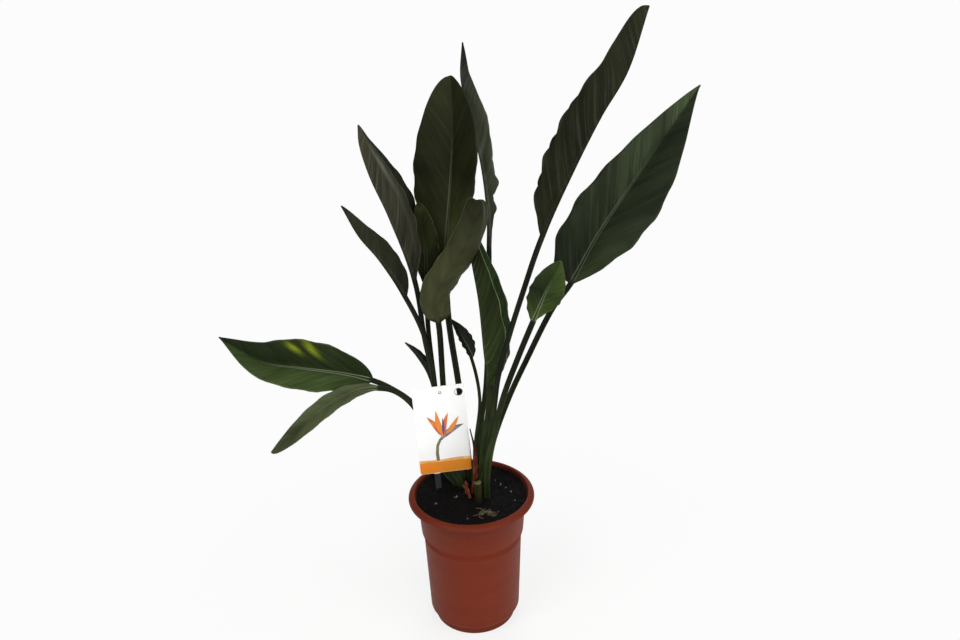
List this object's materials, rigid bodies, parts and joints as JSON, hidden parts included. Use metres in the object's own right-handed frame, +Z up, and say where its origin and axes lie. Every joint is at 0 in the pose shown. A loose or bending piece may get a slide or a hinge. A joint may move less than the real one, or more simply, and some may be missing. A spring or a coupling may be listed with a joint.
{
  "type": "potted bird of paradise",
  "caption": "Potted bird of paradise: long grooved stalks with folded and open paddle blades, in a terracotta-coloured plastic nursery pot with a plant label",
  "frame": {"origin": "centre of the pot's underside, where it rests", "axes": "+Z up through the pot; the picture looks along +Y"},
  "size_m": [0.6284, 0.2101, 0.8207],
  "materials": {
    "leaf": "satin",
    "pale_leaf": "satin",
    "fresh_leaf": "satin",
    "stub": "matte",
    "husk": "matte",
    "pot": "satin",
    "soil": "matte",
    "label": "satin"
  },
  "bodies": {
    "root": {"leaf_tall_right": "leaf", "leaf_broad_right": "leaf", "leaf_small_right": "fresh_leaf", "leaf_centre_folded": "leaf", "leaf_tall_centre": "leaf", "leaf_front_pale": "pale_leaf", "leaf_left_folded": "leaf", "leaf_left_narrow": "leaf", "leaf_dark_narrow": "leaf", "leaf_top_narrow": "leaf", "leaf_small_curled": "leaf", "leaf_young_left": "leaf", "leaf_low_left": "leaf", "leaf_low_drooping": "leaf", "cut_stub": "stub", "dry_sheath": "husk", "husk_left": "husk", "husk_back": "husk", "pot": "pot", "soil": "soil", "label": "label"}
  },
  "joints": []
}
